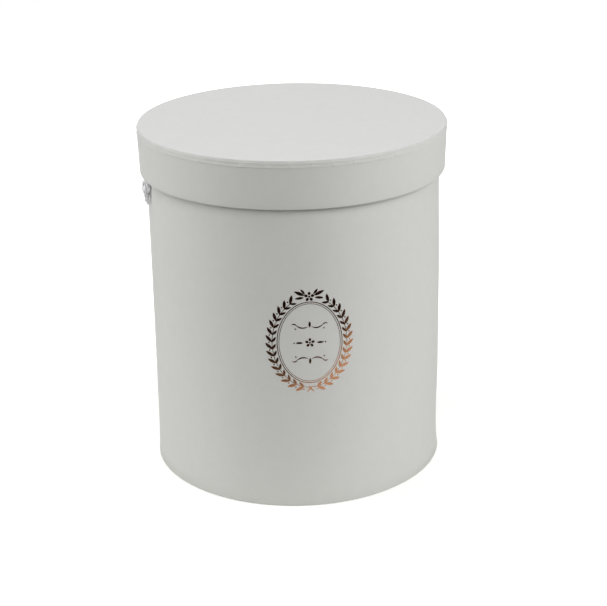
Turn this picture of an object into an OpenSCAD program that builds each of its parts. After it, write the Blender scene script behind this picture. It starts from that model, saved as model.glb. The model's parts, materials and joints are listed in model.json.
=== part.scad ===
// Round gift box: a rolled board tube covered in paper, a lift-off lid, and a cord handle.
// Millimetres. The origin is the centre of the underside, +Z is up and the front is -Y.

/* [Body] */
// Outside diameter of the covered body
body_d = 200; // [120:1:320]
// Height from the table to the rim of the body
body_h = 240; // [140:1:360]
// Thickness of the rolled board tube
tube_wall = 1.8; // [1.2:0.1:3]
// Thickness of the base board
base_t = 2.2; // [1.5:0.1:4]
// Running clearance of the base board inside the tube
base_fit = 0.2; // [0.1:0.05:0.6]
// Width of the wrap turned under the foot
foot_fold = 18; // [8:1:30]
// How far the base cover stays inside the foot's edge
cover_inset = 3; // [1:0.5:8]

/* [Papers] */
// Thickness of the covering paper
wrap_t = 0.25; // [0.2:0.05:0.5]
// Thickness of the lining paper
lining_t = 0.2; // [0.15:0.05:0.4]
// Thickness of the glue line between curved layers
glue_t = 0.05; // [0.02:0.01:0.1]
// Depth of the wrap turned in over the rim
rim_fold = 15; // [8:1:25]
// Distance of the lining's edge below the rim
lining_drop = 6; // [3:0.5:7.5]
// Radius of the paper's folded edges
fold_r = 0.6; // [0.5:0.05:0.8]
// Width of the glued lap of the wrap, up the back
lap_w = 12; // [6:1:20]

/* [Lid] */
// Depth of the lid's skirt, with the top
skirt_h = 32; // [20:1:60]
// Thickness of the lid's top board
lid_board_t = 2; // [1.5:0.1:4]
// Thickness of the lid's skirt board
skirt_wall = 1.6; // [1:0.1:3]
// Gap between the body and the lid's mouth, all round
lid_gap = 1.25; // [0.8:0.05:2.5]
// How much wider the skirt's radius is at its top than at its mouth
skirt_flare = 0.9; // [0:0.1:2]
// Height of the top paper's edge turned down over the skirt
band_h = 4; // [2.5:0.5:8]
// Depth of the wrap turned in over the skirt's mouth
mouth_fold = 12; // [6:1:16]
// Distance of the skirt lining's edge above the mouth
mouth_drop = 4; // [2:0.5:5.5]

/* [Cord handle] */
// Diameter of the twisted cord
cord_d = 3; // [2.5:0.1:3.2]
// Diameter of the cord where the knots pull it tight
knot_cord_d = 2.3; // [2:0.1:2.5]
// Diameter of the two cord holes
hole_d = 4.4; // [4:0.1:7]
// Distance of the holes' centres below the lid's mouth, which leaves room for the knots
hole_drop = 11.95; // [11.5:0.05:30]

/* [Emblem] */
// Width of the stamped wreath
emblem_w = 57; // [44:1:70]
// Height of the stamped wreath, without its blossom and its stalks
emblem_h = 71; // [56:1:90]
// Width of the band of leaves round the oval
wreath_band = 7; // [5.5:0.1:9]
// Number of leaf pairs on each branch of the wreath
leaf_pairs = 15; // [8:1:16]
// Gap between the inner oval line and the ornament
ornament_margin = 7.3; // [5:0.1:10]
// Height of the emblem's centre above the table
emblem_z = 119; // [70:1:170]
// How far the emblem is turned from the front towards the left
emblem_turn = 9; // [0:1:20]
// Thickness of the foil
foil_t = 0.08; // [0.05:0.01:0.2]

/* [Hidden] */
$fn = 180;

paper_white = [0.84, 0.84, 0.80];
lining_white = [0.90, 0.90, 0.88];
grey_board = [0.60, 0.57, 0.52];
foil_copper = [0.62, 0.38, 0.28];
cord_white = [0.92, 0.91, 0.92];

// The body's layers, from the outside in
body_r = body_d / 2;
tube_ro = body_r - wrap_t - glue_t;
tube_ri = tube_ro - tube_wall;
fold_ro = tube_ri - glue_t;
fold_ri = fold_ro - wrap_t;
lining_ro = fold_ri - glue_t;
lining_ri = lining_ro - lining_t;

// The body's heights, from the table up
cover_top = wrap_t;
flange_top = cover_top + wrap_t;
base_top = flange_top + base_t;
floor_top = base_top + lining_t;

// The lid's radii are given at its mouth, and every layer flares by the same amount
mouth_ri = body_r + lid_gap;
skirt_lining_ro = mouth_ri - glue_t;
skirt_lining_ri = skirt_lining_ro - lining_t;
mouth_fold_ro = mouth_ri + wrap_t;
skirt_ri = mouth_fold_ro + glue_t;
skirt_ro = skirt_ri + skirt_wall;
lid_wrap_ri = skirt_ro + glue_t;
lid_wrap_ro = lid_wrap_ri + wrap_t;
band_ri = lid_wrap_ro + glue_t;
band_ro = band_ri + wrap_t;

// The lid's heights: its lining rests on the body's rim
board_z = body_h + lining_t;
board_top = board_z + lid_board_t;
total_h = board_top + wrap_t;
mouth_z = total_h - skirt_h;
skirt_z = mouth_z + wrap_t;

// The height of the cord's holes, and how far a cutting shape reaches past what it cuts
hole_z = mouth_z - hole_drop;
overcut = 1;

// The handle's route inside the box, from the left hole to the middle of the back.
// It drops beside the wall and lies on the floor. The other half is its mirror image.
cord_floor = floor_top + cord_d / 2 + 0.1;
half_route = [
    [-98.2, 0, 198.5], [-96.6, 0, 198.5], [-93.6, 0.1, 197.4], [-91, 0.3, 194.4],
    [-89.9, 0.6, 189.5], [-89.4, 1.2, 167], [-89.2, 2, 135], [-89.2, 3, 100],
    [-89.4, 4.4, 65], [-89.3, 6.4, 35], [-88.8, 9, 17], [-86.8, 13, 8.2],
    [-83.5, 19, 5], [-79, 27, cord_floor], [-71, 38, cord_floor], [-59, 48, cord_floor],
    [-44, 56, cord_floor], [-25, 63, cord_floor], [-8, 67.2, cord_floor]];
route = concat(half_route, [for (i = [len(half_route) - 1:-1:0])
    [-half_route[i][0], half_route[i][1], half_route[i][2]]]);
cord_sides = 8;
cord_steps = 2;

// The overhand knot, as a three-lobed curve. U points out of the wall, V along it, W up.
knot_gap = 0.2;
lobe_height = (knot_cord_d + knot_gap) / 2;
lobe_reach = 2.1;
lobe_radius = 1.1 * (knot_cord_d + knot_gap) / sqrt(3) + lobe_reach;
knot_seat = 0.2;
knot_centre = [knot_seat + lobe_height + knot_cord_d / 2, 0.6, 5.2];
knot_cut = 30;
knot_step = 20;
tail_end = [[1.35, 3, -5.2], [1.5, 3, -3], [2.4, 3.6, -0.4]];
hole_end = [[1.4, -2, 1.8], [1.3, -0.9, 0.5], [0.2, -0.05, 0], [-1, 0, 0], [-1.8, 0, 0]];
lobes = [for (a = [knot_cut:knot_step:360 - knot_cut])
    let (reach = lobe_radius + lobe_reach * cos(3 * a))
    knot_centre + [lobe_height * sin(3 * a), reach * sin(2 * a), -reach * cos(2 * a)]];
knot_route = concat(tail_end, lobes, hole_end);
knot_steps = 2;

// The emblem's two oval lines, as half widths and half heights
oval_a = emblem_w / 2 - wreath_band;
oval_b = emblem_h / 2 - wreath_band;
oval_steps = 96;
line_w = 0.55;
fine_line_w = 0.35;
line_step = 1.3;
inner_a = oval_a - line_step - fine_line_w;
inner_b = oval_b - line_step - fine_line_w;

// The wreath: its stems run outside the oval, and its leaves lean out to the edge of the band
// and in towards the oval. The leans are angles from the stem's own direction.
stem_gap = 0.42 * wreath_band;
stem_w = 0.4;
stem_a = oval_a + stem_gap;
stem_b = oval_b + stem_gap;
leaf_gap = 0.5;
outer_lean = 40;
inner_lean = 33;
outer_leaf = (wreath_band - stem_gap) / sin(outer_lean);
inner_leaf = (stem_gap - leaf_gap) / sin(inner_lean);
outer_leaf_w = 0.33 * outer_leaf;
inner_leaf_w = 0.36 * inner_leaf;
berry_lean = 98;
berry_r = 0.5;
berry_reach = 1.9;
branch_start = 4.4;
branch_end = 13.5;

// The ornament is drawn in units: it reaches 13 of them to each side and 15.5 up and down
ornament_unit = min((inner_a - ornament_margin) / 13, (inner_b - ornament_margin) / 15.5);

// The lid's flare at a height, added to every radius of the skirt
function flare(z) = skirt_flare * (z - mouth_z) / (total_h - mouth_z);

// Points of a quarter round between two directions, for a folded edge
function fold(centre, from, to) =
    [for (i = [0:4]) centre + fold_r * [cos(from + (to - from) * i / 4), sin(from + (to - from) * i / 4)]];

// A smooth curve through a row of points, with n steps in each span
function curve_at(a, b, c, d, t) = 0.5 * (2 * b + (c - a) * t
    + (2 * a - 5 * b + 4 * c - d) * t * t + (3 * b - a - 3 * c + d) * t * t * t);
function smooth(p, n) = [for (i = [0:len(p) - 2]) for (j = [0:n - 1])
    curve_at(p[max(i - 1, 0)], p[i], p[i + 1], p[min(i + 2, len(p) - 1)], j / n), p[len(p) - 1]];

// Directions along a path, and sideways directions that turn with it without twisting
function unit(v) = v / norm(v);
function headings(p) = [for (i = [0:len(p) - 1]) unit(p[min(i + 1, len(p) - 1)] - p[max(i - 1, 0)])];
function sideways(v, t) = unit(v - (v * t) * t);
function normals(t, first) = [for (i = 0, n = sideways(first, t[0]); i < len(t);
    i = i + 1, n = sideways(n, t[min(i, len(t) - 1)])) n];

// Radius of a round arc of a given chord and depth
function arc_radius(chord, depth) = (chord * chord / 4 + depth * depth) / (2 * depth);

// Points of an oval, and the lengths round it at equal turns
function oval(a, b) = [for (i = [0:oval_steps - 1]) [a * cos(360 * i / oval_steps), b * sin(360 * i / oval_steps)]];
function oval_point(a, b, t) = [a * cos(t), b * sin(t)];
function oval_lengths(a, b) = [for (i = 0, s = 0; i <= oval_steps; i = i + 1,
    s = s + norm(oval_point(a, b, 360 * i / oval_steps) - oval_point(a, b, 360 * (i - 1) / oval_steps)))
    [s, 360 * i / oval_steps]];

module ring(ro, ri, z0, z1) {
    translate([0, 0, z0])
        difference() {
            cylinder(r = ro, h = z1 - z0);
            translate([0, 0, -overcut])
                cylinder(r = ri, h = z1 - z0 + 2 * overcut);
        }
}

// A flared ring of the lid, between two heights
module flared_ring(ro, ri, z0, z1) {
    rotate_extrude()
        polygon([[ri + flare(z0), z0], [ro + flare(z0), z0], [ro + flare(z1), z1], [ri + flare(z1), z1]]);
}

module disc(r, z0, z1) {
    translate([0, 0, z0])
        cylinder(r = r, h = z1 - z0);
}

module cord_holes() {
    translate([-body_r - overcut, 0, hole_z])
        rotate([0, 90, 0])
            cylinder(d = hole_d, h = body_d + 2 * overcut, $fn = 48);
}

// A round cord along a path, as one closed surface of triangles
module cord(path, d) {
    heading = headings(path);
    normal = normals(heading, [0.2, 1, 0.1]);
    points = [for (i = [0:len(path) - 1]) for (k = [0:cord_sides - 1])
        path[i] + d / 2 * (cos(360 * k / cord_sides) * normal[i]
            + sin(360 * k / cord_sides) * cross(heading[i], normal[i]))];
    last = (len(path) - 1) * cord_sides;
    walls = [for (i = [0:len(path) - 2]) for (k = [0:cord_sides - 1])
        let (a = i * cord_sides + k, b = i * cord_sides + (k + 1) % cord_sides)
        each [[a, a + cord_sides, b], [b, a + cord_sides, b + cord_sides]]];
    ends = [for (k = [1:cord_sides - 2])
        each [[0, k, k + 1], [last, last + k + 1, last + k]]];
    polyhedron(points = points, faces = concat(walls, ends), convexity = 6);
}

// The body

module body_tube() {
    color(grey_board)
        difference() {
            ring(tube_ro, tube_ri, flange_top, body_h - wrap_t);
            cord_holes();
        }
}

// One sheet: turned under the foot, up the outside, over the rim and down inside
module wrap_sheet() {
    outer = concat([[body_r - foot_fold, cover_top]],
        fold([body_r - fold_r, cover_top + fold_r], -90, 0),
        fold([body_r - fold_r, body_h - fold_r], 0, 90),
        fold([fold_ri + fold_r, body_h - fold_r], 90, 180));
    inner = [[fold_ri, body_h - rim_fold], [fold_ro, body_h - rim_fold],
        [fold_ro, body_h - wrap_t], [body_r - wrap_t, body_h - wrap_t],
        [body_r - wrap_t, flange_top], [body_r - foot_fold, flange_top]];
    rotate_extrude()
        polygon(concat(outer, inner));
}

// The sheet's end, glued over its start
module lap(ro, ri, z0, z1) {
    intersection() {
        ring(ro, ri, z0, z1);
        translate([-lap_w / 2, 0, z0 - overcut])
            cube([lap_w, ro + overcut, z1 - z0 + 2 * overcut]);
    }
}

module body_wrap() {
    color(paper_white)
        difference() {
            union() {
                wrap_sheet();
                lap(body_r + wrap_t, body_r - wrap_t / 2, cover_top + fold_r, body_h - fold_r);
            }
            cord_holes();
        }
}

module body_lining() {
    color(lining_white)
        difference() {
            ring(lining_ro, lining_ri, floor_top, body_h - lining_drop);
            cord_holes();
        }
}

module base_board() {
    color(grey_board)
        disc(tube_ri - base_fit, flange_top, base_top);
}

module base_lining() {
    color(lining_white)
        disc(tube_ri - base_fit, base_top, floor_top);
}

module base_cover() {
    color(paper_white)
        disc(body_r - cover_inset, 0, cover_top);
}

// The stamped emblem

// A petal pointed at both ends, from the origin towards +Y: where two round arcs meet
module petal(length, width) {
    arc_r = arc_radius(length, width / 2);
    translate([0, length / 2])
        intersection() {
            translate([width / 2 - arc_r, 0])
                circle(arc_r);
            translate([arc_r - width / 2, 0])
                circle(arc_r);
        }
}

// A tapered curl between two points on the X axis, with its belly towards -Y
module curl(chord, depth, width) {
    outer_r = arc_radius(chord, depth);
    inner_r = arc_radius(chord, depth - width);
    difference() {
        translate([0, outer_r - depth])
            circle(outer_r);
        translate([0, inner_r - depth + width])
            circle(inner_r);
    }
}

module oval_line(a, b, w) {
    difference() {
        polygon(oval(a, b));
        polygon(oval(a - w, b - w));
    }
}

// Presses a flat drawing onto the front of the body
module stamp() {
    rotate([0, 0, -emblem_turn])
        intersection() {
            ring(body_r + foil_t, body_r, emblem_z - emblem_h, emblem_z + emblem_h);
            translate([0, -body_r / 2, emblem_z])
                rotate([90, 0, 0])
                    linear_extrude(height = body_r)
                        children();
        }
}

// A leaf pair and a berry at a turn round the oval, pointing the way that the branch grows
module leaf_pair(t) {
    translate(oval_point(stem_a, stem_b, t))
        rotate(atan2(stem_b * cos(t), -stem_a * sin(t)) - 90) {
            rotate(-outer_lean)
                petal(outer_leaf, outer_leaf_w);
            rotate(inner_lean)
                petal(inner_leaf, inner_leaf_w);
            rotate(-berry_lean)
                translate([0, berry_reach])
                    circle(berry_r, $fn = 24);
        }
}

// The branch's stem, from its first leaves to its last
module stem(first, last) {
    points = [for (i = [0:oval_steps / 2]) first + (last - first) * 2 * i / oval_steps];
    polygon(concat([for (t = points) oval_point(stem_a + stem_w / 2, stem_b + stem_w / 2, t)],
        [for (i = [oval_steps / 2:-1:0]) oval_point(stem_a - stem_w / 2, stem_b - stem_w / 2, points[i])]));
}

// The right branch: it starts at the foot of the oval and grows up to its head
module branch() {
    lengths = oval_lengths(stem_a, stem_b);
    quarter = lengths[oval_steps][0] / 4;
    turns = [for (i = [0:leaf_pairs - 1])
        let (s = branch_start - quarter + (2 * quarter - branch_start - branch_end) * i / (leaf_pairs - 1))
        sign(s) * lookup(abs(s), lengths)];
    for (t = turns)
        leaf_pair(t);
    stem(turns[0] - 8, turns[leaf_pairs - 1] + 4);
}

// Petals round a bead, the first of them pointing up
module blossom(count, length, width, bead_r) {
    for (i = [0:count - 1])
        rotate(360 * i / count)
            translate([0, bead_r * 1.4])
                petal(length, width);
    circle(bead_r, $fn = 32);
}

// Two branches, tied with two crossed stalks at the foot and a blossom with leaves at the head
module border_drawing() {
    for (side = [-1, 1])
        flipped(side, 1) {
            branch();
            translate([-1.3, -stem_b + 1])
                rotate(-140)
                    petal(5.8, 1);
            translate([3, stem_b + 1.2])
                rotate(-66)
                    petal(7.4, 2.2);
            translate([2.7, stem_b + 2])
                rotate(-38)
                    petal(4.6, 1.5);
            translate([3.4, stem_b - 0.1])
                rotate(-97)
                    petal(6, 1.7);
        }
    translate([0, stem_b + 0.4])
        blossom(5, 2.4, 1.9, 0.7);
    oval_line(oval_a, oval_b, line_w);
    oval_line(oval_a - line_step, oval_b - line_step, fine_line_w);
}

// Three rows of scrolls: a blossom between two leaves, and a flourish above and below
module ornament_drawing() {
    blossom(5, 2.5, 1.8, 0.65);
    for (side = [-1, 1])
        flipped(side, 1) {
            translate([4.6, 0])
                rotate(-90)
                    petal(5, 1.5);
            translate([10.6, 0])
                circle(0.5, $fn = 24);
        }
    for (side = [-1, 1], up = [-1, 1])
        flipped(side, up)
            translate([0, 12])
                flourish();
}

// Half of a flourish: a long curl from the middle, a short one that rolls back, and a bead
module flourish() {
    translate([5.1, 0.4])
        rotate(8)
            curl(8.2, 2.1, 0.95);
    translate([10.5, 0.4])
        rotate(196)
            curl(3.8, 1.6, 0.8);
    translate([9.6, -1.9])
        circle(0.5, $fn = 24);
    translate([0, -1])
        petal(4.4, 1.7);
}

// A mirrored copy to the left or below
module flipped(side, up) {
    mirror([side < 0 ? 1 : 0, 0])
        mirror([0, up < 0 ? 1 : 0])
            children();
}

module foil_border() {
    color(foil_copper)
        stamp()
            border_drawing();
}

module foil_ornament() {
    color(foil_copper)
        stamp()
            scale(ornament_unit)
                ornament_drawing();
}

// The cord handle

module handle_cord() {
    color(cord_white)
        cord(smooth(route, cord_steps), cord_d);
}

module knot() {
    path = [for (q = smooth(knot_route, knot_steps)) [-body_r - q[0], -q[1], hole_z + q[2]]];
    color(cord_white)
        cord(path, knot_cord_d);
}

module left_knot() {
    knot();
}

module right_knot() {
    rotate([0, 0, 180])
        knot();
}

// The lid

module lid_board() {
    color(grey_board)
        disc(skirt_ro + flare(board_z), board_z, board_top);
}

module skirt_ring() {
    color(grey_board)
        flared_ring(skirt_ro, skirt_ri, skirt_z, board_z);
}

// The top sheet, with its edge turned down over the skirt
module lid_top_paper() {
    band_z = total_h - band_h;
    edge_r = band_ro + flare(total_h);
    outline = concat([[0, total_h]],
        fold([edge_r - fold_r, total_h - fold_r], 90, 0),
        [[band_ro + flare(band_z), band_z], [band_ri + flare(band_z), band_z],
            [band_ri + flare(board_top), board_top], [0, board_top]]);
    color(paper_white)
        rotate_extrude()
            polygon(outline);
}

// The skirt's strip: turned in over the mouth, up the outside, to the top of the board
module lid_wrap() {
    fold_top = mouth_z + mouth_fold;
    outline = concat(
        fold([lid_wrap_ro - fold_r, mouth_z + fold_r], -90, 0),
        [[lid_wrap_ro + flare(board_top), board_top], [lid_wrap_ri + flare(board_top), board_top],
            [lid_wrap_ri + flare(skirt_z), skirt_z], [mouth_fold_ro + flare(skirt_z), skirt_z],
            [mouth_fold_ro + flare(fold_top), fold_top], [mouth_ri + flare(fold_top), fold_top]],
        fold([mouth_ri + fold_r, mouth_z + fold_r], 180, 270));
    color(paper_white)
        rotate_extrude()
            polygon(outline);
}

module skirt_lining() {
    color(lining_white)
        flared_ring(skirt_lining_ro, skirt_lining_ri, mouth_z + mouth_drop, body_h);
}

module lid_lining() {
    color(lining_white)
        disc(skirt_ri - glue_t, body_h, board_z);
}

body_tube();
body_wrap();
body_lining();
base_board();
base_lining();
base_cover();
foil_border();
foil_ornament();
handle_cord();
left_knot();
right_knot();
lid_board();
skirt_ring();
lid_top_paper();
lid_wrap();
skirt_lining();
lid_lining();
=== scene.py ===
# %% [markdown]
# # Round gift box with a lid and a cord handle
# A box maker rolls grey board into a tube, covers it with a pale paper, lines it, stamps it with
# foil and knots a cord into it. The boards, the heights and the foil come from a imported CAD
# model. This lesson adds what the eye sees: rolled sheets of paper with their laps and folds,
# a lid paper with its little pleats, a twisted cord, the finishes and the light.

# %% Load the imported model
import json
import math

import bmesh
import bpy
from mathutils import Matrix, Vector, noise


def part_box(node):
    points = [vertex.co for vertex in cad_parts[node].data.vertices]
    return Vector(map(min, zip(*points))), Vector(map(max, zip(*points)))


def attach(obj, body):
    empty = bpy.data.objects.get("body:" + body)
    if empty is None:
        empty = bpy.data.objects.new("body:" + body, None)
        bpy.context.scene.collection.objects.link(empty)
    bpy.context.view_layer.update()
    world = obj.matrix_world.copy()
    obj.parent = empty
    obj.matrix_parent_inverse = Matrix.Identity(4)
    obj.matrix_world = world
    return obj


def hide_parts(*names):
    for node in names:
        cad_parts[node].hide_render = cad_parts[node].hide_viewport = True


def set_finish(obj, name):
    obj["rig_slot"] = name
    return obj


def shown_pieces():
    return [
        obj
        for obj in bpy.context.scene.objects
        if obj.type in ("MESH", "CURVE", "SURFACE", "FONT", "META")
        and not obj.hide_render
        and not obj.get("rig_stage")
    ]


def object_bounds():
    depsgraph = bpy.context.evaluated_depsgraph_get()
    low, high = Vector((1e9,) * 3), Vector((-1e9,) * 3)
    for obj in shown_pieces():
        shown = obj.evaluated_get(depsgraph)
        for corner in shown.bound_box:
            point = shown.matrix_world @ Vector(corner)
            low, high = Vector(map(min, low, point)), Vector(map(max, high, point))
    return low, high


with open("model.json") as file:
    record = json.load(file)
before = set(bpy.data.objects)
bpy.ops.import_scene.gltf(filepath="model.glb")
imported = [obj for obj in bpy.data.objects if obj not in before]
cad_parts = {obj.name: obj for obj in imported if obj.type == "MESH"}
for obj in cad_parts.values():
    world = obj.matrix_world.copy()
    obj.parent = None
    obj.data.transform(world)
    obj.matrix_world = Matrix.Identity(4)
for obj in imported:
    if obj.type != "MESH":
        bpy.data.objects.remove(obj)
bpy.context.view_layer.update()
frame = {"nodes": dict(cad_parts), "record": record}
nodes = frame["nodes"]

# %% [markdown]
# ## The camera
# The camera is set by what a photographer could measure: how far it stands, how high, how far it
# is turned round the box, and how long its lens is. The last small pan, tilt and roll say that
# the box isn't quite in the middle of the picture, nor quite upright. Setting up an
# aimed camera by turning it about its own axes, one turn at a time, keeps each number readable.

# %% Camera
IMAGE_W = 607
FOCAL_PIXELS = 1593.4
SENSOR_MM = 36.0
CAMERA_DISTANCE = 1.1244
AIM_HEIGHT = 0.1212
CAMERA_TURN = math.radians(-14)
CAMERA_RISE = math.radians(20.368)
PAN = math.radians(0.28)
TILT = math.radians(-0.609)
ROLL = math.radians(-1.135)

camera_data = bpy.data.cameras.new("camera")
camera_data.sensor_width = SENSOR_MM
camera_data.lens = FOCAL_PIXELS * SENSOR_MM / IMAGE_W
camera = bpy.data.objects.new("camera", camera_data)
bpy.context.scene.collection.objects.link(camera)
bpy.context.scene.camera = camera

stand = Vector((0, -CAMERA_DISTANCE * math.cos(CAMERA_RISE), CAMERA_DISTANCE * math.sin(CAMERA_RISE)))
around_box = Matrix.Rotation(CAMERA_TURN, 4, "Z")
aim = (Matrix.Rotation(math.pi / 2 - CAMERA_RISE, 4, "X") @ Matrix.Rotation(-PAN, 4, "Y")
       @ Matrix.Rotation(TILT, 4, "X") @ Matrix.Rotation(ROLL, 4, "Z"))
camera.matrix_world = around_box @ Matrix.Translation(stand + Vector((0, 0, AIM_HEIGHT))) @ aim
print("lens in mm:", round(camera_data.lens, 2), "camera at:", [round(x, 3) for x in camera.matrix_world.translation])

# %% [markdown]
# ## Small helpers
# Every piece is finished the same way: its mesh gets smooth shading with sharp edges where
# the paper was cut, it rides on its body, it stands for the CAD nodes that it covers, and it names
# the material slot that it takes its finish from. One function does all four.

# %% Finish a piece
MM = 0.001


def finish_piece(mesh, name, body, slot, replaced=()):
    """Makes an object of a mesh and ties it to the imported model."""
    mesh.polygons.foreach_set("use_smooth", [True] * len(mesh.polygons))
    mesh.set_sharp_from_angle(angle=math.radians(50))
    piece = bpy.data.objects.new(name, mesh)
    bpy.context.scene.collection.objects.link(piece)
    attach(piece, body)
    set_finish(piece, slot)
    if replaced:
        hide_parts(*replaced)
    print(name, "has", len(mesh.polygons), "faces")
    return piece


# %% [markdown]
# ## The cord handle
# The handle is a soft white cord, three strands twisted together, about 3 mm thick. It
# comes in through the left hole, hangs down inside the wall, crosses the floor of the box in one
# loose curve and leaves through the right hole. With the handle pushed inside, only the two knots
# show. The route is the CAD model's: a list of points, smoothed the same way.

# %% The cord's route
CORD_D = 3 * MM
LEFT_HALF = [
    (-0.0982, 0, 0.1985), (-0.0966, 0, 0.1985), (-0.0936, 0.0001, 0.1974), (-0.091, 0.0003, 0.1944),
    (-0.0899, 0.0006, 0.1895), (-0.0894, 0.0012, 0.167), (-0.0892, 0.002, 0.135), (-0.0892, 0.003, 0.1),
    (-0.0894, 0.0044, 0.065), (-0.0893, 0.0064, 0.035), (-0.0888, 0.009, 0.017), (-0.0868, 0.013, 0.0082),
    (-0.0835, 0.019, 0.005), (-0.079, 0.027, 0.0045), (-0.071, 0.038, 0.0045), (-0.059, 0.048, 0.0045),
    (-0.044, 0.056, 0.0045), (-0.025, 0.063, 0.0045), (-0.008, 0.0672, 0.0045)]
RIGHT_HALF = [(-x, y, z) for x, y, z in reversed(LEFT_HALF)]


def smooth_route(points, steps):
    """A smooth curve through a row of points, with this many steps in each span."""
    points = [Vector(p) for p in points]
    last = len(points) - 1
    route = []
    for i in range(last):
        a, b, c, d = points[max(i - 1, 0)], points[i], points[i + 1], points[min(i + 2, last)]
        for j in range(steps):
            t = j / steps
            route.append(0.5 * (2 * b + (c - a) * t + (2 * a - 5 * b + 4 * c - d) * t ** 2
                                + (3 * b - a - 3 * c + d) * t ** 3))
    return route + [points[last]]


def even_steps(route, step):
    """The same route as points at even steps along it, and the length of one step."""
    lengths = [0.0]
    for a, b in zip(route, route[1:]):
        lengths.append(lengths[-1] + (b - a).length)
    count = round(lengths[-1] / step)
    even, i = [], 0
    for k in range(count + 1):
        target = lengths[-1] * k / count
        while i < len(route) - 2 and lengths[i + 1] < target:
            i += 1
        share = (target - lengths[i]) / (lengths[i + 1] - lengths[i])
        even.append(route[i].lerp(route[i + 1], share))
    return even, lengths[-1] / count


handle_route, handle_step = even_steps(smooth_route(LEFT_HALF + RIGHT_HALF, 12), 0.8 * MM)

# %% [markdown]
# ## Twisting strands into a cord
# A twisted cord is three round strands that wind round each other like a screw. One could
# model a single twist and repeat it with an Array and a Curve modifier, but the joints would
# show. Here each strand is a poly curve of its own: its points circle the route once for each
# turn of the lay, and the curve's round bevel gives it thickness. The curve is made a mesh at
# the end, so its UV map runs round and along each strand. It is scaled to metres, and
# the fine fibres of the finish will follow it.

# %% Twist a cord
LAY = 9 * MM
STRAND_SHARE = 0.66
TAIL_TIP = 0.7
TAIL_FULLNESS = 0.1


def eased(share):
    """0 to 1 with a gentle start and end."""
    share = max(0.0, min(1.0, share))
    return share * share * (3 - 2 * share)


def twisted_cord(name, route, step, diameter, tail=0.0):
    """A mesh of three strands round a route. A cut tail, at its start, loosens and ends in a point."""
    strand_r = diameter / 2 * STRAND_SHARE
    circle_r = diameter / 2 - strand_r
    heading = [(b - a).normalized() for a, b in zip([route[0]] + route[:-1], route[1:] + [route[-1]])]
    side = heading[0].orthogonal().normalized()
    curve = bpy.data.curves.new(name, "CURVE")
    curve.dimensions = "3D"
    curve.bevel_depth = strand_r
    curve.bevel_resolution = 3
    curve.use_fill_caps = True
    strands = [curve.splines.new("POLY") for _ in range(3)]
    for strand in strands:
        strand.points.add(len(route) - 1)
    for i, (centre, along) in enumerate(zip(route, heading)):
        side = (side - side.dot(along) * along).normalized()
        across = along.cross(side)
        full = 1.0
        if tail:
            share = min(1.0, i * step / tail)
            full = (TAIL_TIP + (1 - TAIL_TIP) * eased(2 * share)) * (1 + TAIL_FULLNESS * math.sin(math.pi * share))
        for k, strand in enumerate(strands):
            turn = 2 * math.pi * (i * step / LAY + k / 3)
            offset = circle_r * full * (math.cos(turn) * side + math.sin(turn) * across)
            strand.points[i].co = (*(centre + offset), 1)
            strand.points[i].radius = full
    mesh = bpy.data.meshes.new_from_object(bpy.data.objects.new(name + "_curve", curve))
    for corner in mesh.uv_layers[0].data:
        corner.uv = (corner.uv[0] * 2 * math.pi * strand_r, corner.uv[1] * step * len(route))
    mesh.name = name
    return mesh


handle = finish_piece(twisted_cord("cord_handle", handle_route, handle_step, CORD_D),
                      "cord_handle", "body", "twisted_cord", ["handle_cord"])

# %% [markdown]
# ## The two knots
# Outside each hole the cord is tied in an overhand knot, which is what carries the box when
# someone lifts it. The tied part is a three-lobed curve that passes over and under itself; in
# from one end comes the cord from the hole, and the other end is the short cut tail. The formula
# is the CAD model's, written for a knot whose U points out of the wall, V along it and W up. Where
# soft cord crosses itself it is pressed together, so it is drawn a little fuller than it is, and
# the outer bend of each loop is pressed down towards the wall.

# %% Knots
KNOT_CORD_D = 2.3 * MM
KNOT_FULLNESS = 1.3
KNOT_GAP = 0.2 * MM
KNOT_SEAT = 0.2 * MM
KNOT_PRESS = 1.3 * MM
LOBE_REACH = 2.1 * MM
LOBE_HEIGHT = 0.9 * (KNOT_CORD_D + KNOT_GAP) / 2
LOBE_RADIUS = 1.1 * (KNOT_CORD_D + KNOT_GAP) / math.sqrt(3) + LOBE_REACH
KNOT_CENTRE = Vector((KNOT_SEAT + LOBE_HEIGHT + KNOT_CORD_D / 2, 1.2 * MM, 5.4 * MM))
TAIL_END = [(0.0014, 0.003, -0.006), (0.0022, 0.003, -0.0036), (0.0027, 0.0036, -0.0005)]
HOLE_END = [(0.0014, -0.002, 0.0018), (0.0013, -0.0009, 0.0005), (0.0002, -0.00005, 0), (-0.001, 0, 0), (-0.0018, 0, 0)]
TAIL_LENGTH = 6.5 * MM

wrap_low, wrap_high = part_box("body_wrap")
body_r, body_h = wrap_high.x, wrap_high.z
hole_z = LEFT_HALF[0][2]


def knot_points():
    """The points of a knot, from its cut tail to the hole."""
    lobes = []
    for degrees in range(30, 331, 20):
        turn = math.radians(degrees)
        reach = LOBE_RADIUS + LOBE_REACH * math.cos(3 * turn)
        height = LOBE_HEIGHT * math.sin(3 * turn) - KNOT_PRESS * max(0.0, math.cos(3 * turn)) ** 2
        lobes.append(KNOT_CENTRE + Vector((height, reach * math.sin(2 * turn), -reach * math.cos(2 * turn))))
    return [Vector(p) for p in TAIL_END] + lobes + [Vector(p) for p in HOLE_END]


for knot_name, turn_degrees in (("left_knot", 0), ("right_knot", 180)):
    half_turn = Matrix.Rotation(math.radians(turn_degrees), 3, "Z")
    placed = [half_turn @ Vector((-body_r - p.x, -p.y, hole_z + p.z)) for p in knot_points()]
    knot_route, knot_step = even_steps(smooth_route(placed, 12), 0.5 * MM)
    knot_mesh = twisted_cord(knot_name + "_cord", knot_route, knot_step, KNOT_FULLNESS * KNOT_CORD_D, TAIL_LENGTH)
    finish_piece(knot_mesh, knot_name + "_cord", "body", "twisted_cord", [knot_name])

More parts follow.
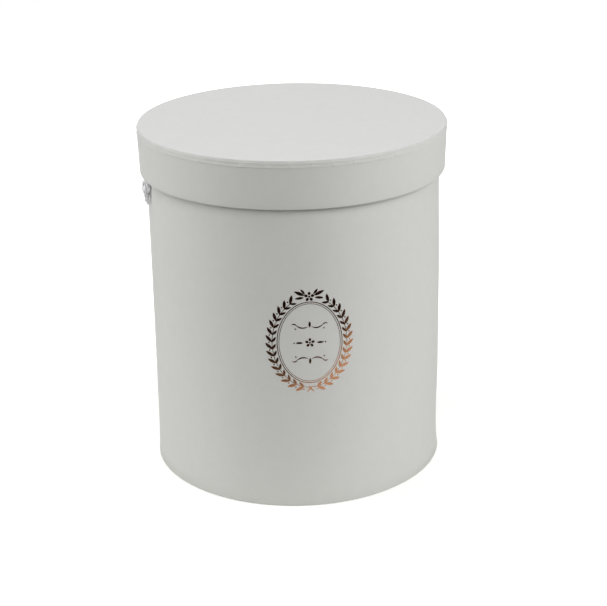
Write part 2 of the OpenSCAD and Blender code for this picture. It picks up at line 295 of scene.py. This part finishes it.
# %% [markdown]
# ## Sheets of paper
# Covering paper starts flat, so its pieces start as a flat grid. The grid's columns are
# wound round the box and its rows follow an outline, the section that the folded sheet has: under the
# foot, up the wall, over the rim and down inside. A rounded corner of an outline is a quarter
# circle. The far end of the sheet lies on top of its start, and makes the glued lap at the back.

# %% Outlines
PAPER_T = 0.25 * MM
LINING_T = 0.2 * MM
FOLD_R = 0.6 * MM
CORNER_STEPS = 4


def corner(centre_r, centre_z, start, end):
    """Points of a rounded fold, as (radius, height), between two directions in degrees."""
    turns = [math.radians(start + (end - start) * i / CORNER_STEPS) for i in range(CORNER_STEPS + 1)]
    return [(centre_r + FOLD_R * math.cos(t), centre_z + FOLD_R * math.sin(t)) for t in turns]


def subdivided(outline, longest):
    """The same outline with no step longer than this, so that its long walls can bend."""
    rows = [outline[0]]
    for (r0, z0), (r1, z1) in zip(outline, outline[1:]):
        parts = math.ceil(math.hypot(r1 - r0, z1 - z0) / longest)
        rows += [(r0 + (r1 - r0) * i / parts, z0 + (z1 - z0) * i / parts) for i in range(1, parts + 1)]
    return rows


def polar(radius, angle, z):
    """A point at an angle from the front, which is -Y, towards the right, which is +X."""
    return Vector((radius * math.sin(angle), -radius * math.cos(angle), z))


# %% [markdown]
# ## Rolling a sheet
# The lap is 12 mm wide. On a real box its cut edge stands proud by the paper's thickness, and
# the paper climbs gently on to the edge under it. Hand-covered board is never quite true
# either, so a soft noise moves the wall by less than a tenth of a millimetre.
# The sheet gets its thickness last, from a Solidify modifier, which is applied here because the
# cord holes are then cut through it.

# %% Roll a sheet
LAP_W = 12 * MM
CLIMB_W = 2.5 * MM


def rolled_sheet(name, outline, thickness, columns, nudge):
    """A flat grid wound once round the box, with its end lapped over its start at the back."""
    rows = len(outline) - 1
    radius = max(r for r, z in outline)
    sweep = 2 * math.pi + LAP_W / radius
    bm = bmesh.new()
    bmesh.ops.create_grid(bm, x_segments=columns, y_segments=rows, size=0.5)
    for vert in bm.verts:
        turned = (vert.co.x + 0.5) * sweep
        row = round((vert.co.y + 0.5) * rows)
        (r0, z0), (r1, z1) = outline[max(row - 1, 0)], outline[min(row + 1, rows)]
        out_r, out_z = (z1 - z0) / math.hypot(r1 - r0, z1 - z0), (r0 - r1) / math.hypot(r1 - r0, z1 - z0)
        lift = eased((turned - 2 * math.pi) * radius / CLIMB_W + 1) * thickness
        lift *= 1.05 if abs(out_r) > 0.9 else 0.1
        angle = turned - math.pi - LAP_W / radius / 2
        r, z = outline[row]
        push = lift + nudge(angle, z) * out_r
        vert.co = polar(r + push * out_r, angle, z + lift * out_z)
    bmesh.ops.recalc_face_normals(bm, faces=bm.faces)
    return bm


def thickened(bm, name, thickness):
    """The sheet as a mesh with its real thickness, on the side away from its face."""
    mesh = bpy.data.meshes.new(name)
    bm.to_mesh(mesh)
    bm.free()
    sheet = bpy.data.objects.new(name + "_sheet", mesh)
    bpy.context.scene.collection.objects.link(sheet)
    solidify = sheet.modifiers.new("thickness", "SOLIDIFY")
    solidify.thickness = thickness
    solidify.offset = -1
    return baked_mesh(sheet, name)


def baked_mesh(sheet, name):
    """A copy of an object's mesh with its modifiers applied. The object itself is deleted."""
    drawn = bpy.context.evaluated_depsgraph_get()
    mesh = bpy.data.meshes.new_from_object(sheet.evaluated_get(drawn))
    mesh.name = name
    bpy.data.objects.remove(sheet)
    return mesh


# %% [markdown]
# ## The body's covering paper
# One sheet covers the tube. Its outline starts under the foot and ends inside the rim. The box
# isn't a perfect cylinder: its foot swells a little where the base board was pressed in, and its
# right side bellies by less than a millimetre. Where the foil was stamped, the hot die pressed the
# paper flat.

# %% Body wrap
FOOT_FOLD = 18 * MM
RIM_FOLD = 15 * MM
cover_top = wrap_low.z
fold_inner_r = body_r - 2.4 * MM
WAVE_SIZE = 70 * MM
WAVE_DEPTH = 0.09 * MM
RIGHT_SIDE = math.radians(74)
LEFT_SIDE = math.radians(-104)
SIDE_REACH = math.radians(55)
RIGHT_SWELL, RIGHT_SWELL_HEIGHT = 1.2 * MM, 8 * MM
LEFT_SWELL, LEFT_SWELL_HEIGHT = 1.2 * MM, 24 * MM
BELLY = 0.8 * MM
BELLY_LOW, BELLY_HIGH = 30 * MM, 205 * MM
foil_low, foil_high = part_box("foil_border")
foil_angle = math.atan2((foil_low.x + foil_high.x) / 2, -foil_low.y)
foil_middle = (foil_low.z + foil_high.z) / 2
foil_reach = (foil_high.z - foil_low.z) / 2


def away_from(angle, middle):
    """The angle between two directions, whichever way round is shorter."""
    return abs((angle - middle + math.pi) % (2 * math.pi) - math.pi)


def uneven_wall(angle, z):
    """How far the wall stands out: slow waves, the belly at the right and the swollen foot."""
    wave = noise.noise(polar(body_r, angle, 0.35 * z) / WAVE_SIZE * 2) * WAVE_DEPTH
    from_foil = math.hypot(away_from(angle, foil_angle) * body_r, z - foil_middle) / foil_reach
    right = eased(1 - away_from(angle, RIGHT_SIDE) / SIDE_REACH)
    left = eased(1 - away_from(angle, LEFT_SIDE) / SIDE_REACH)
    belly = BELLY * eased((z - BELLY_LOW) / (40 * MM)) * eased((BELLY_HIGH - z) / (75 * MM))
    right_foot = RIGHT_SWELL * math.exp(-((z / RIGHT_SWELL_HEIGHT) ** 2))
    left_foot = LEFT_SWELL * math.exp(-z / LEFT_SWELL_HEIGHT)
    return wave * eased(2 * from_foil - 2.1) + right * (belly + right_foot) + left * left_foot


body_outline = ([(body_r - FOOT_FOLD, cover_top)]
                + corner(body_r - FOLD_R, cover_top + FOLD_R, -90, 0)
                + corner(body_r - FOLD_R, body_h - FOLD_R, 0, 90)
                + corner(fold_inner_r + FOLD_R, body_h - FOLD_R, 90, 180)
                + [(fold_inner_r, body_h - RIM_FOLD)])
body_sheet = rolled_sheet("body_paper", subdivided(body_outline, 8 * MM), PAPER_T, 480, uneven_wall)
body_mesh = thickened(body_sheet, "body_paper", PAPER_T)
print("body paper:", len(body_mesh.polygons), "faces before the holes")

# %% [markdown]
# ## Cord holes
# The two holes are punched through paper, board and lining in one go. A Boolean modifier with
# a plain cylinder does the same: everything inside the cylinder is taken away, and the cut edge
# of the paper shows. The cylinder is deleted again once the hole is made.

# %% Punch the holes
HOLE_D = 4.4 * MM
PUNCH_SIDES = 40


def punched(mesh, name):
    """The mesh with the two cord holes cut through it."""
    bm = bmesh.new()
    bmesh.ops.create_cone(bm, cap_ends=True, segments=PUNCH_SIDES, radius1=HOLE_D / 2, radius2=HOLE_D / 2,
                          depth=2.2 * body_r)
    bmesh.ops.rotate(bm, verts=bm.verts, cent=(0, 0, 0), matrix=Matrix.Rotation(math.pi / 2, 3, "Y"))
    bmesh.ops.translate(bm, verts=bm.verts, vec=(0, 0, hole_z))
    punch_mesh = bpy.data.meshes.new("punch")
    bm.to_mesh(punch_mesh)
    bm.free()
    punch = bpy.data.objects.new("punch", punch_mesh)
    sheet = bpy.data.objects.new(name + "_sheet", mesh)
    for made in (punch, sheet):
        bpy.context.scene.collection.objects.link(made)
    cut = sheet.modifiers.new("holes", "BOOLEAN")
    cut.operation = "DIFFERENCE"
    cut.object = punch
    cut.solver = "EXACT"
    result = baked_mesh(sheet, name)
    bpy.data.objects.remove(punch)
    return result


body_paper = finish_piece(punched(body_mesh, "body_paper"), "body_paper", "body", "cover_paper", ["body_wrap"])

# %% [markdown]
# ## The linings
# The tube is lined with a smooth white strip that stops 6 mm below the rim, so the turned-in
# covering paper shows above it. It is another rolled sheet, facing inwards: its
# outline runs downwards, which puts the thickness on the outside. The lid's skirt has one too.

# %% Linings
lining_low, lining_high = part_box("body_lining")
lining_r = lining_high.x - LINING_T
lining_outline = subdivided([(lining_r, lining_high.z), (lining_r, lining_low.z)], 12 * MM)


def still(angle, z):
    """No unevenness."""
    return 0.0


lining_mesh = thickened(rolled_sheet("body_lining_paper", lining_outline, LINING_T, 360, still),
                        "body_lining_paper", LINING_T)
body_lining = finish_piece(punched(lining_mesh, "body_lining_paper"), "body_lining_paper", "body",
                           "lining_paper", ["body_lining"])

skirt_low, skirt_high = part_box("skirt_lining")
lid_low, lid_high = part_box("lid_wrap")
top_low, top_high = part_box("lid_top_paper")
SKIRT_FLARE = 0.9 * MM
mouth_z, total_h = lid_low.z, top_high.z


def flare(z):
    """The skirt widens upwards: how much wider its radius is at a height than at its mouth."""
    return SKIRT_FLARE * (z - mouth_z) / (total_h - mouth_z)


skirt_lining_r = skirt_high.x - flare(skirt_high.z) - LINING_T
skirt_outline = [(skirt_lining_r + flare(z), z) for z in (skirt_high.z, skirt_low.z)]
skirt_mesh = thickened(rolled_sheet("skirt_lining_paper", skirt_outline, LINING_T, 360, still),
                       "skirt_lining_paper", LINING_T)
skirt_lining = finish_piece(skirt_mesh, "skirt_lining_paper", "lid", "lining_paper", ["skirt_lining"])

# %% [markdown]
# ## The lid's covering strip
# The skirt is covered first. Its strip is turned in over the mouth, where the fold is round and
# catches the light, and its upper edge is hidden under the top paper. The lid isn't quite round
# either: it stands out by half a millimetre at the left.

# %% Lid strip
MOUTH_FOLD = 12 * MM
GLUE_FULLNESS = 0.25 * MM
UNDER_BAND = 2.5 * MM
strip_r = lid_high.x - flare(lid_high.z) + GLUE_FULLNESS
mouth_r = strip_r - 2.2 * MM - GLUE_FULLNESS
strip_top = top_low.z + UNDER_BAND
strip_outline = ([(mouth_r + flare(mouth_z + MOUTH_FOLD), mouth_z + MOUTH_FOLD)]
                 + corner(mouth_r + FOLD_R, mouth_z + FOLD_R, 180, 270)
                 + corner(strip_r - FOLD_R, mouth_z + FOLD_R, -90, 0)
                 + [(strip_r + flare(strip_top), strip_top)])


def uneven_skirt(angle, z):
    """Slow waves of the skirt, a little stronger than the body's."""
    return noise.noise(polar(body_r, angle, z) / WAVE_SIZE * 2.5 + Vector((7, 0, 0))) * WAVE_DEPTH


LID_LEAN = 0.6 * MM
LEAN_REACH = math.radians(85)


def leaned(bm, still_r, full_r):
    """The same sheet with its outer part moved out at the left."""
    for vert in bm.verts:
        r, angle = math.hypot(vert.co.x, vert.co.y), math.atan2(vert.co.x, -vert.co.y)
        share = eased(1 - away_from(angle, LEFT_SIDE) / LEAN_REACH) * eased((r - still_r) / (full_r - still_r))
        vert.co = polar(r + LID_LEAN * share, angle, vert.co.z)
    return bm


strip_sheet = rolled_sheet("lid_strip", subdivided(strip_outline, 5 * MM), PAPER_T, 480, uneven_skirt)
strip_sheet = leaned(strip_sheet, mouth_r + 1.2 * MM, strip_r - FOLD_R)
lid_strip = finish_piece(thickened(strip_sheet, "lid_strip", PAPER_T), "lid_strip", "lid", "cover_paper", ["lid_wrap"])

# %% [markdown]
# ## The lid's top paper and its pleats
# The top paper is a round sheet, a little larger than the board. Its edge is glued down
# over the skirt, and because a flat round sheet has too much paper for that, it is
# tucked in small pleats. Spinning an outline about the Z axis gives the disc and its turned-down
# band in one go. The band spreads a little as it goes down, so it catches the light from above.
# Then its points are moved: at each pleat the paper doubles, so it stands out sharply on one
# side and runs back flat to the next pleat on the other, and the cut edge wanders. The round
# board is a little warped as well, and rises by half a millimetre at the back.

# %% Spin an outline
BAND_COLUMNS = 1440


def spun(outline, steps):
    """An outline of (radius, height) points, turned once round the Z axis."""
    bm = bmesh.new()
    points = [bm.verts.new((r, 0, z)) for r, z in outline]
    lines = [bm.edges.new(ends) for ends in zip(points, points[1:])]
    bmesh.ops.spin(bm, geom=points + lines, cent=(0, 0, 0), axis=(0, 0, 1), angle=2 * math.pi, steps=steps,
                   use_merge=True)
    bmesh.ops.remove_doubles(bm, verts=bm.verts, dist=1e-6)
    bmesh.ops.recalc_face_normals(bm, faces=bm.faces)
    return bm


BAND_SPREAD = 0.52 * MM
BAND_LIFT = 0.08 * MM
BAND_EXTRA = 0.6 * MM
BAND_ROWS = 8
band_low_r = strip_r + flare(top_low.z) + PAPER_T + BAND_LIFT
top_r = band_low_r - BAND_SPREAD
band_h = total_h - FOLD_R - top_low.z + BAND_EXTRA
top_outline = ([(r * top_r, total_h) for r in (0, 0.3, 0.6, 0.85, 0.96)]
               + corner(top_r - FOLD_R, total_h - FOLD_R, 90, 0)
               + [(top_r + BAND_SPREAD * (1 - (1 - row / BAND_ROWS) ** 1.15), total_h - FOLD_R - band_h * row / BAND_ROWS)
                  for row in range(1, BAND_ROWS + 1)])
top_bm = leaned(spun(top_outline, BAND_COLUMNS), 0.6 * top_r, 0.96 * top_r)

# %% Pleat the band
PLEATS = 44
PLEAT_T = 0.26 * MM
FACET_RISE = 0.16 * MM
EDGE_WANDER = 0.35 * MM
FULL_PLEAT = 2.4 * MM
BACK_SIDE = math.radians(-175)
BACK_REACH = math.radians(110)
BACK_RISE = 0.5 * MM

pleat_angles = [2 * math.pi * (k + 0.42 * noise.noise((k * 1.7, 3.1, 0))) / PLEATS for k in range(PLEATS)]
pleat_angles.append(pleat_angles[0] + 2 * math.pi)


def pleat_shape(angle):
    """How far the band stands out at an angle, and the number of the pleat before it."""
    angle = pleat_angles[0] + (angle - pleat_angles[0]) % (2 * math.pi)
    k = max(i for i in range(PLEATS) if pleat_angles[i] <= angle + 1e-9)
    share = (angle - pleat_angles[k]) / (pleat_angles[k + 1] - pleat_angles[k])
    strength = 0.7 + 0.8 * noise.noise((k * 2.3, 0.7, 0))
    return strength * PLEAT_T * (1 - share) + FACET_RISE * (1 - 2 * share) ** 2, k


for vert in top_bm.verts:
    r, z = math.hypot(vert.co.x, vert.co.y), vert.co.z
    depth = total_h - z
    angle = math.atan2(vert.co.x, -vert.co.y)
    rise, pleat = pleat_shape(angle)
    low = eased(depth / FULL_PLEAT) if depth >= FOLD_R else 0.0
    wander = noise.noise(polar(top_r, angle, 0) / (18 * MM)) + 0.5 * noise.noise((pleat * 3.3, 1.9, 0))
    warp = BACK_RISE * eased(1 - away_from(angle, BACK_SIDE) / BACK_REACH) * eased((r / top_r - 0.4) / 0.6)
    vert.co = polar(r + rise * low, angle, z + EDGE_WANDER * wander * low + warp)
top_paper = finish_piece(thickened(top_bm, "lid_top", PAPER_T), "lid_top", "lid", "cover_paper", ["lid_top_paper"])

# %% [markdown]
# ## Finishes
# Materials are written as if they were ordered from a paper merchant: what each one is, how it
# was made, and what that gives the eye. Colours are sRGB hex values, as in a paint program, and
# one function turns them to the linear numbers that Blender works with. One more function adds a
# node with its settings, values and links. A pattern's scale comes from a real size: a noise
# with a scale of 1 / size has features about that size across.

# %% Material helpers
def linear(hex_colour):
    """An sRGB hex colour as linear red, green, blue and alpha."""
    parts = [int(hex_colour[i:i + 2], 16) / 255 for i in (0, 2, 4)]
    return [c / 12.92 if c <= 0.04045 else ((c + 0.055) / 1.055) ** 2.4 for c in parts] + [1.0]


def per_size(size_mm):
    """The scale of a pattern whose features are this many millimetres across."""
    return 1000 / size_mm


def add_node(tree, kind, settings=None, values=None, links=None):
    """Adds a node: its own settings, its sockets' values, and what its sockets are linked to."""
    node = tree.nodes.new(kind)
    for name, value in (settings or {}).items():
        setattr(node, name, value)
    for name, value in (values or {}).items():
        node.inputs[name].default_value = value
    for name, source in (links or {}).items():
        tree.links.new(source, node.inputs[name])
    return node


def start_material(name):
    """An empty material, its node tree and the coordinates of the object."""
    material = bpy.data.materials.new(name)
    material.use_nodes = True
    material.node_tree.nodes.clear()
    place = add_node(material.node_tree, "ShaderNodeTexCoord").outputs["Object"]
    return material, material.node_tree, place


def end_material(tree, values, links):
    """Adds the Principled shader with its values and links, and the output."""
    shader = add_node(tree, "ShaderNodeBsdfPrincipled", {}, values, links)
    add_node(tree, "ShaderNodeOutputMaterial", {}, {}, {"Surface": shader.outputs[0]})


# Sockets of the Mix node, which has one set for each kind of value
MIX_A, MIX_B, MIX_RESULT = 6, 7, 2


# %% [markdown]
# ### Covering paper
# Uncoated wood-free paper, calendered smooth and glued down wet. Its fibres lie in faint clouds,
# a few millimetres across, that are a touch lighter and darker. Its surface is matt with
# a fine grain, really about 0.2 mm and drawn at 0.5 mm so that it shows. Under the paper the glue
# leaves slow, shallow ripples. Paper's IOR is near 1.5, and its rough fibres scatter the gloss.

# %% Covering paper
PAPER_COLOUR = "DBDBD8"
PAPER_CLOUD = "D5D5D2"

paper, tree, place = start_material("calendered_wood_free_paper")
clouds = add_node(tree, "ShaderNodeTexNoise", {}, {"Scale": per_size(7), "Detail": 4, "Roughness": 0.6},
                  {"Vector": place})
shade = add_node(tree, "ShaderNodeMix", {"data_type": "RGBA"}, {MIX_A: linear(PAPER_COLOUR), MIX_B: linear(PAPER_CLOUD)},
                 {"Factor": clouds.outputs["Fac"]})
grain = add_node(tree, "ShaderNodeTexNoise", {}, {"Scale": per_size(0.5), "Detail": 3, "Roughness": 0.7},
                 {"Vector": place})
ripples = add_node(tree, "ShaderNodeTexNoise", {}, {"Scale": per_size(22), "Detail": 1}, {"Vector": place})
grain_bump = add_node(tree, "ShaderNodeBump", {}, {"Strength": 0.25, "Distance": 0.02 * MM},
                      {"Height": grain.outputs["Fac"]})
ripple_bump = add_node(tree, "ShaderNodeBump", {}, {"Strength": 0.5, "Distance": 0.12 * MM},
                       {"Height": ripples.outputs["Fac"], "Normal": grain_bump.outputs["Normal"]})
end_material(tree, {"Roughness": 0.8, "IOR": 1.5, "Specular IOR Level": 0.25},
             {"Base Color": shade.outputs[MIX_RESULT], "Normal": ripple_bump.outputs["Normal"]})

# %% [markdown]
# ### Lining paper
# A whiter, machine-finished wood-free paper. It is smoother than the covering, with fainter clouds.

# %% Lining paper
lining, tree, place = start_material("machine_finished_lining_paper")
clouds = add_node(tree, "ShaderNodeTexNoise", {}, {"Scale": per_size(9), "Detail": 3}, {"Vector": place})
shade = add_node(tree, "ShaderNodeMix", {"data_type": "RGBA"}, {MIX_A: linear("EBEBE8"), MIX_B: linear("E5E5E1")},
                 {"Factor": clouds.outputs["Fac"]})
grain = add_node(tree, "ShaderNodeTexNoise", {}, {"Scale": per_size(0.6), "Detail": 2}, {"Vector": place})
bump = add_node(tree, "ShaderNodeBump", {}, {"Strength": 0.2, "Distance": 0.02 * MM}, {"Height": grain.outputs["Fac"]})
end_material(tree, {"Roughness": 0.5, "IOR": 1.5},
             {"Base Color": shade.outputs[MIX_RESULT], "Normal": bump.outputs["Normal"]})

# %% [markdown]
# ### Grey board
# Solid board pressed from waste paper. It is warm grey, with specks of printed and white fibre a
# millimetre or less across, and it is the roughest thing in the box.

# %% Grey board
board, tree, place = start_material("pressed_waste_paper_board")
mottle = add_node(tree, "ShaderNodeTexNoise", {}, {"Scale": per_size(3), "Detail": 5, "Roughness": 0.7}, {"Vector": place})
shade = add_node(tree, "ShaderNodeMix", {"data_type": "RGBA"}, {MIX_A: linear("A19A8E"), MIX_B: linear("8B857A")},
                 {"Factor": mottle.outputs["Fac"]})
specks = add_node(tree, "ShaderNodeTexVoronoi", {}, {"Scale": per_size(1.2)}, {"Vector": place})
dark = add_node(tree, "ShaderNodeMapRange", {}, {"From Min": 0.12, "From Max": 0.2, "To Min": 0.5, "To Max": 0.0},
                {"Value": specks.outputs["Distance"]})
speckled = add_node(tree, "ShaderNodeMix", {"data_type": "RGBA"}, {MIX_B: linear("5F5B55")},
                    {"Factor": dark.outputs["Result"], MIX_A: shade.outputs[MIX_RESULT]})
bump = add_node(tree, "ShaderNodeBump", {}, {"Strength": 0.5, "Distance": 0.06 * MM}, {"Height": mottle.outputs["Fac"]})
end_material(tree, {"Roughness": 0.85, "IOR": 1.5},
             {"Base Color": speckled.outputs[MIX_RESULT], "Normal": bump.outputs["Normal"]})

# %% [markdown]
# ### Stamping foil
# Rose-gold hot-stamping foil: a film of tinted metal, pressed into the paper with a hot die. It
# is a metal, so its colour is its reflection, and it shows the dark room on one side and the
# bright table on the other. The paper's grain comes through it and blurs what it mirrors.

# %% Stamping foil
foil, tree, place = start_material("rose_gold_stamping_foil")
tone = add_node(tree, "ShaderNodeTexNoise", {}, {"Scale": per_size(5), "Detail": 3}, {"Vector": place})
shade = add_node(tree, "ShaderNodeMix", {"data_type": "RGBA"}, {MIX_A: linear("C18F6C"), MIX_B: linear("B07E5E")},
                 {"Factor": tone.outputs["Fac"]})
grain = add_node(tree, "ShaderNodeTexNoise", {}, {"Scale": per_size(0.5), "Detail": 3, "Roughness": 0.7},
                 {"Vector": place})
bump = add_node(tree, "ShaderNodeBump", {}, {"Strength": 0.25, "Distance": 0.02 * MM}, {"Height": grain.outputs["Fac"]})
end_material(tree, {"Metallic": 1.0, "Roughness": 0.14},
             {"Base Color": shade.outputs[MIX_RESULT], "Normal": bump.outputs["Normal"]})

# %% [markdown]
# ### Twisted cord
# White viscose satin, spun in long fibres. The fibres run along each strand, a little askew, and
# are about 0.05 mm thick, drawn at 0.25 mm. They are read from the cord's own UV map,
# so that they follow every bend. A little sheen lights the fuzz at the cord's edges, and light
# also goes a millimetre into the white fibres, which softens the shadows between the strands.

# %% Twisted cord
satin, tree, place = start_material("twisted_viscose_satin_cord")
along = add_node(tree, "ShaderNodeTexCoord").outputs["UV"]
fibre_place = add_node(tree, "ShaderNodeMapping", {},
                       {"Scale": (per_size(0.25), per_size(5), 1), "Rotation": (0, 0, math.radians(6))}, {"Vector": along})
fibres = add_node(tree, "ShaderNodeTexNoise", {}, {"Scale": 1.0, "Detail": 2}, {"Vector": fibre_place.outputs["Vector"]})
shade = add_node(tree, "ShaderNodeMix", {"data_type": "RGBA"}, {MIX_A: linear("EDECF0"), MIX_B: linear("F6F5F8")},
                 {"Factor": fibres.outputs["Fac"]})
bump = add_node(tree, "ShaderNodeBump", {}, {"Strength": 0.3, "Distance": 0.05 * MM}, {"Height": fibres.outputs["Fac"]})
end_material(tree, {"Roughness": 0.42, "IOR": 1.52, "Sheen Weight": 0.25, "Sheen Roughness": 0.4,
                    "Subsurface Weight": 0.35, "Subsurface Radius": (1.0, 1.0, 1.0), "Subsurface Scale": 1.2 * MM},
             {"Base Color": shade.outputs[MIX_RESULT], "Normal": bump.outputs["Normal"]})

# %% Give every piece its finish
finish_of_slot = {"cover_paper": paper, "lining_paper": lining, "grey_board": board, "copper_foil": foil,
                  "twisted_cord": satin}
slot_of_node = {part["node"]: part["material_slot"] for part in frame["record"]["subparts"]}
for name, node in nodes.items():
    node.data.materials.clear()
    node.data.materials.append(finish_of_slot[slot_of_node[name]])
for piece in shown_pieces():
    if "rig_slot" in piece:
        piece.data.materials.clear()
        piece.data.materials.append(finish_of_slot[piece["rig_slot"]])

# %% [markdown]
# ## The studio
# The box stands on a wide white floor. One large soft light hangs above the camera, and throws
# the shadow under the lid's edge. Others stand at the right and, low and high, at the left, and two
# cooler ones light the lid and the back from behind. The front left gets the least light, which is
# what makes the round wall look round. The background is white because of its own colour: the floor
# and the world look white to the camera and in reflections, but give the box only a plain level of
# light. The floor's own white grows with the distance, so that the soft shadow round the foot stays,
# and mirrors show less of it, since a real sheet of paper is no lamp.

# %% Floor and world
FLOOR_SIZE = 3.4
MIRROR_DIM = 0.75

bm = bmesh.new()
bmesh.ops.create_grid(bm, x_segments=1, y_segments=1, size=FLOOR_SIZE / 2)
floor_mesh = bpy.data.meshes.new("floor")
bm.to_mesh(floor_mesh)
bm.free()
floor = bpy.data.objects.new("floor", floor_mesh)
bpy.context.scene.collection.objects.link(floor)
floor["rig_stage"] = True

floor_paint = bpy.data.materials.new("white_studio_floor")
floor_paint.use_nodes = True
tree = floor_paint.node_tree
tree.nodes.clear()
rays = add_node(tree, "ShaderNodeLightPath")
seen = add_node(tree, "ShaderNodeMath", {"operation": "MAXIMUM"}, {},
                {0: rays.outputs["Is Camera Ray"], 1: rays.outputs["Is Glossy Ray"]})
seen = add_node(tree, "ShaderNodeMath", {"operation": "MAXIMUM"}, {},
                {0: seen.outputs[0], 1: rays.outputs["Is Transmission Ray"]})
lit = add_node(tree, "ShaderNodeBsdfDiffuse", {}, {"Color": linear("E0E0DB")})
place = add_node(tree, "ShaderNodeTexCoord").outputs["Object"]
away = add_node(tree, "ShaderNodeVectorMath", {"operation": "LENGTH"}, {}, {0: place})
whiter = add_node(tree, "ShaderNodeMapRange", {"interpolation_type": "SMOOTHSTEP"},
                  {"From Min": 0.13, "From Max": 0.3, "To Min": 0.45, "To Max": 1.0}, {"Value": away.outputs["Value"]})
dimmer = add_node(tree, "ShaderNodeMath", {"operation": "MULTIPLY_ADD"}, {1: -MIRROR_DIM, 2: 1.0},
                  {0: rays.outputs["Is Glossy Ray"]})
glow = add_node(tree, "ShaderNodeMath", {"operation": "MULTIPLY"}, {},
                {0: whiter.outputs["Result"], 1: dimmer.outputs[0]})
bright = add_node(tree, "ShaderNodeEmission", {}, {"Color": linear("FFFFFF")}, {"Strength": glow.outputs[0]})
white = add_node(tree, "ShaderNodeAddShader", {}, {}, {0: lit.outputs[0], 1: bright.outputs[0]})
look = add_node(tree, "ShaderNodeMixShader", {}, {}, {0: seen.outputs[0], 1: lit.outputs[0], 2: white.outputs[0]})
add_node(tree, "ShaderNodeOutputMaterial", {}, {}, {"Surface": look.outputs[0]})
floor.data.materials.append(floor_paint)

WORLD_STRENGTH = 0.05
world = bpy.data.worlds.new("studio")
world.use_nodes = True
tree = world.node_tree
tree.nodes.clear()
rays = add_node(tree, "ShaderNodeLightPath")
seen = add_node(tree, "ShaderNodeMath", {"operation": "MAXIMUM"}, {},
                {0: rays.outputs["Is Camera Ray"], 1: rays.outputs["Is Glossy Ray"]})
seen = add_node(tree, "ShaderNodeMath", {"operation": "MAXIMUM"}, {},
                {0: seen.outputs[0], 1: rays.outputs["Is Transmission Ray"]})
glow = add_node(tree, "ShaderNodeBackground", {}, {"Color": linear("FFFFFF"), "Strength": WORLD_STRENGTH})
backdrop = add_node(tree, "ShaderNodeBackground", {}, {"Color": linear("FFFFFF"), "Strength": 1.0})
look = add_node(tree, "ShaderNodeMixShader", {}, {}, {0: seen.outputs[0], 1: glow.outputs[0], 2: backdrop.outputs[0]})
add_node(tree, "ShaderNodeOutputWorld", {}, {}, {"Surface": look.outputs[0]})
bpy.context.scene.world = world

# %% [markdown]
# The white sheet under the box ends about 30 cm in front of it, and the studio's floor beyond it
# is dark. The camera doesn't see that edge, but the foil mirrors it: its lower right shows the
# white sheet, and the rest shows the dark floor. A dark card lies there in its place.

# %% Dark card
CARD_START = 0.303
CARD_DEPTH = 1.1
CARD_W = 2.6
CARD_TURN = math.radians(-17.5)
CARD_HEIGHT = 1 * MM

bm = bmesh.new()
bmesh.ops.create_grid(bm, x_segments=1, y_segments=1, size=0.5)
bmesh.ops.scale(bm, verts=bm.verts, vec=(CARD_W, CARD_DEPTH, 1))
bmesh.ops.translate(bm, verts=bm.verts, vec=(0, -CARD_START - CARD_DEPTH / 2, CARD_HEIGHT))
bmesh.ops.rotate(bm, verts=bm.verts, cent=(0, 0, 0), matrix=Matrix.Rotation(CARD_TURN, 3, "Z"))
card_mesh = bpy.data.meshes.new("dark_card")
bm.to_mesh(card_mesh)
bm.free()
card = bpy.data.objects.new("dark_card", card_mesh)
bpy.context.scene.collection.objects.link(card)
card.visible_camera = False
card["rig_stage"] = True

card_paint = bpy.data.materials.new("dark_card")
card_paint.use_nodes = True
tree = card_paint.node_tree
tree.nodes.clear()
lit = add_node(tree, "ShaderNodeBsdfDiffuse", {}, {"Color": linear("1C1718")})
add_node(tree, "ShaderNodeOutputMaterial", {}, {}, {"Surface": lit.outputs[0]})
card.data.materials.append(card_paint)

# %% [markdown]
# A soft light is a large area lamp. Each one is placed by its angle round the box, as seen from
# the camera's side, its height and its distance, and it is turned to face the box.

# %% Lamps
WHITE = (1.0, 1.0, 1.0)
COOL = (0.92, 0.93, 1.0)
LAMPS = [("front_softbox", 0, 40, 1.3, 0.8, 7.2, WHITE), ("right_softbox", 75, 25, 1.3, 0.8, 8.75, WHITE),
         ("left_high_softbox", -90, 50, 1.3, 0.8, 4.9, WHITE), ("left_low_softbox", -90, 12, 1.3, 0.8, 5.3, WHITE),
         ("back_high_softbox", 180, 62, 1.3, 0.8, 3.8, COOL), ("back_low_softbox", 180, 20, 1.3, 0.8, 2.0, COOL)]

for name, turn, rise, distance, size, watts, colour in LAMPS:
    lamp_data = bpy.data.lights.new(name, "AREA")
    lamp_data.shape = "SQUARE"
    lamp_data.size = size
    lamp_data.energy = watts
    lamp_data.color = colour
    lamp = bpy.data.objects.new(name, lamp_data)
    lamp.visible_camera = False
    bpy.context.scene.collection.objects.link(lamp)
    turn, rise = math.radians(turn) + CAMERA_TURN, math.radians(rise)
    from_box = polar(math.cos(rise), turn, math.sin(rise))
    lamp.location = from_box * distance + Vector((0, 0, AIM_HEIGHT))
    lamp.rotation_euler = from_box.to_track_quat("Z", "Y").to_euler()
bpy.context.scene.view_settings.view_transform = "Standard"
print("lamps:", len(LAMPS))

# %% [markdown]
# ## Sizes
# The visual model's size is printed in millimetres.

# %% Print the visual size
low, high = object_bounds()
print("visual size in mm:", [round(1000 * side, 1) for side in high - low])
